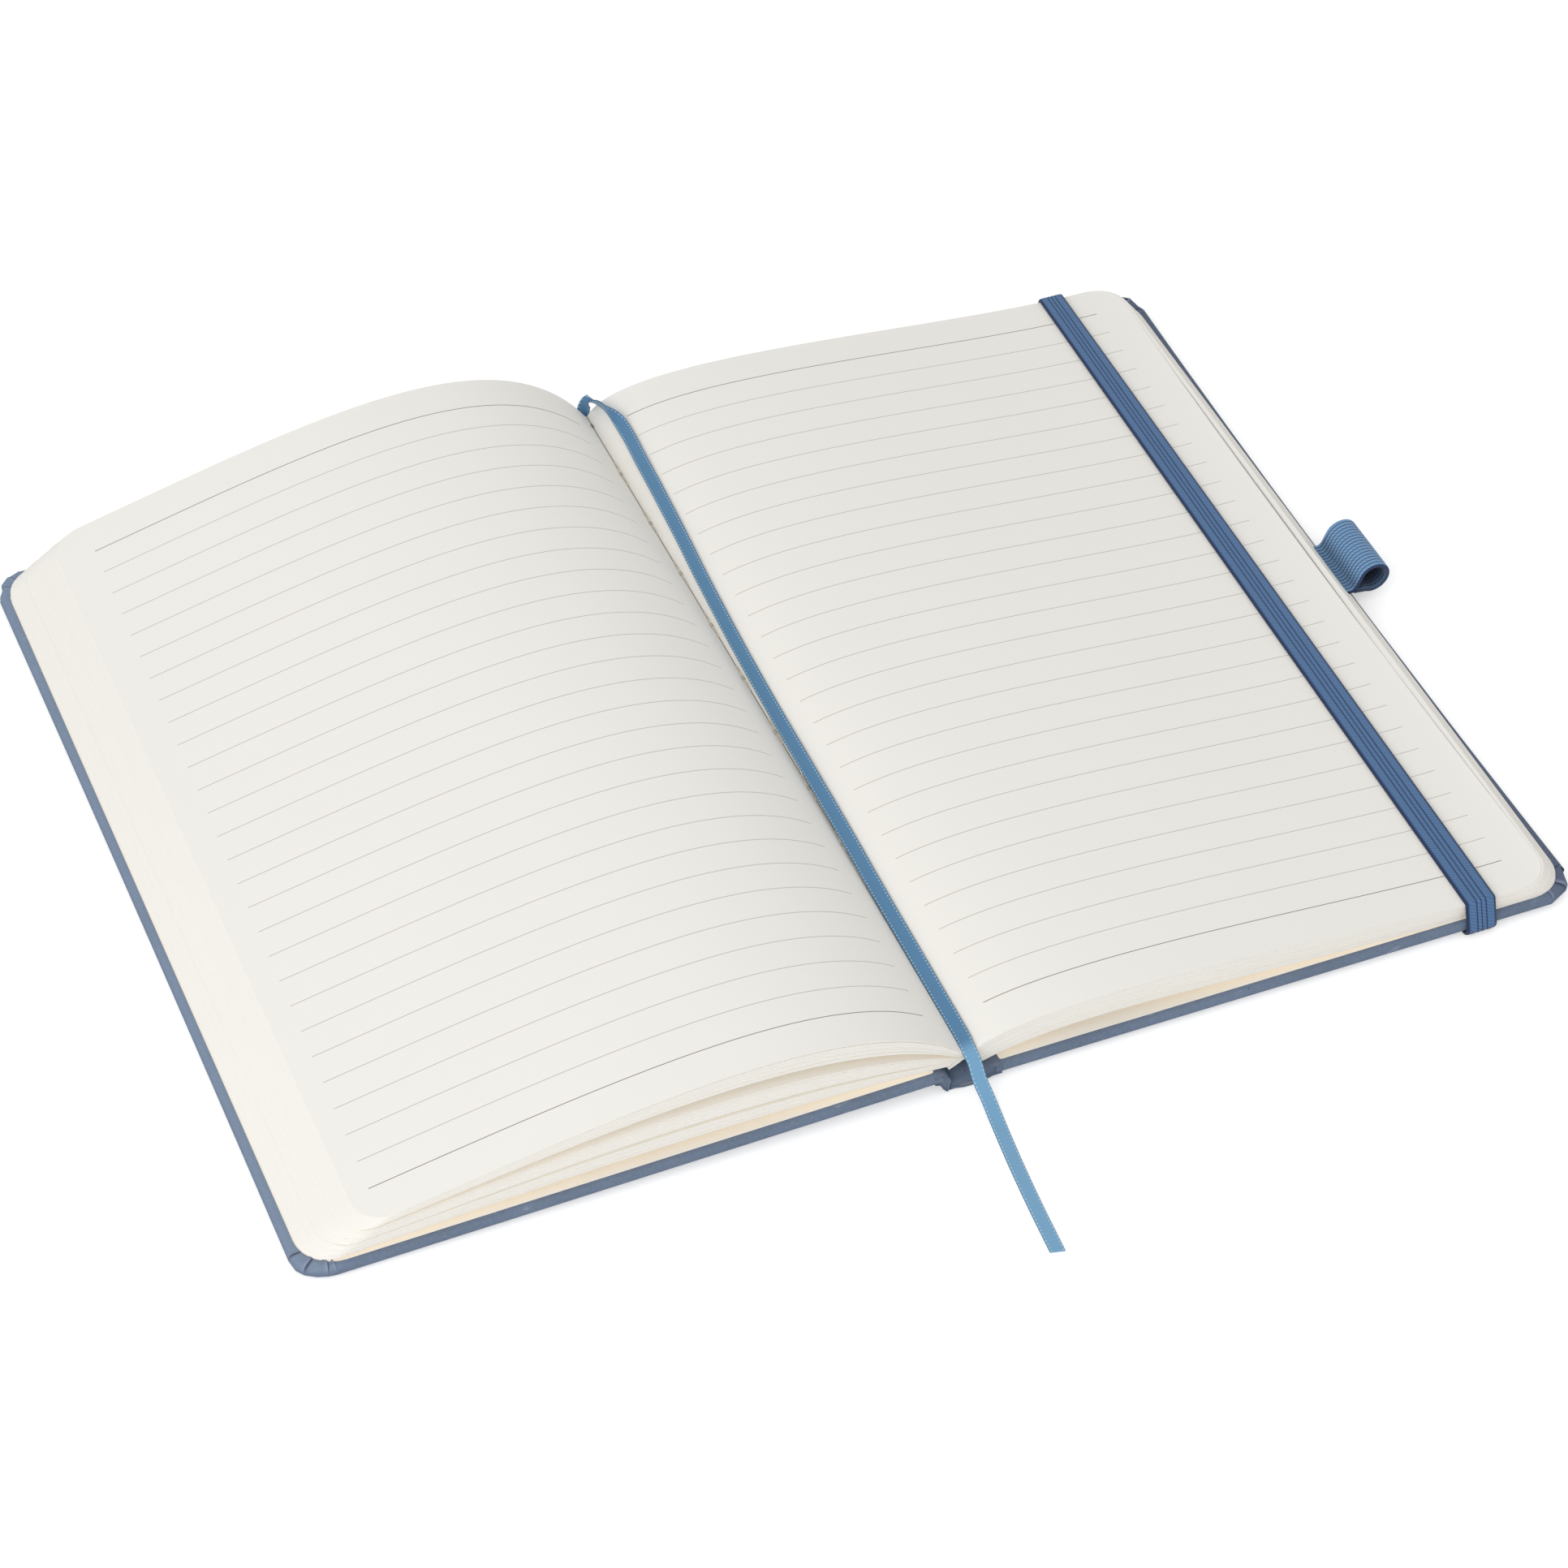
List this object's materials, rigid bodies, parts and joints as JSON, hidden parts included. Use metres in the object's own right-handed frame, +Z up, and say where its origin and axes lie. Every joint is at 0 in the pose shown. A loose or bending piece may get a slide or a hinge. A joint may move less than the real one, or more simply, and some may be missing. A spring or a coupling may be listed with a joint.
{
  "type": "hardback notebook",
  "caption": "Open hardback notebook: sewn ruled leaves in stiff paper-covered boards, with ribbon marker, elastic closing band and elastic pen loop.",
  "frame": {"origin": "middle of the underside of the spine, on the surface that the notebook lies on", "axes": "+X across the open spread towards the right-hand fore edge, +Y towards the head of the page, +Z up from the table"},
  "size_m": [0.2816, 0.2547, 0.0279],
  "materials": {
    "greyboard": "uncoated",
    "covering": "matt, flecked",
    "endpaper": "matt",
    "leaves": "matt, ruled",
    "lining": "open cloth",
    "thread": "matt",
    "ribbon": "satin",
    "band_elastic": "ribbed knit",
    "loop_elastic": "ribbed knit"
  },
  "bodies": {
    "book": {"spine_card": "greyboard", "back_board": "greyboard", "back_covering": "covering", "back_pastedown": "endpaper", "page_block": "leaves", "spine_lining": "lining", "sewing_thread": "thread", "ribbon_marker": "ribbon", "elastic_band": "band_elastic", "pen_loop": "loop_elastic"},
    "front_cover": {"front_board": "greyboard", "front_covering": "covering", "front_pastedown": "endpaper"}
  },
  "joints": [
    {"name": "front_cover_hinge", "type": "hinge", "parent": "book", "child": "front_cover", "pos_m": [-0.00435, 0, 0.00015], "axis": [0, -1, 0], "range_deg": [0, 160]}
  ]
}
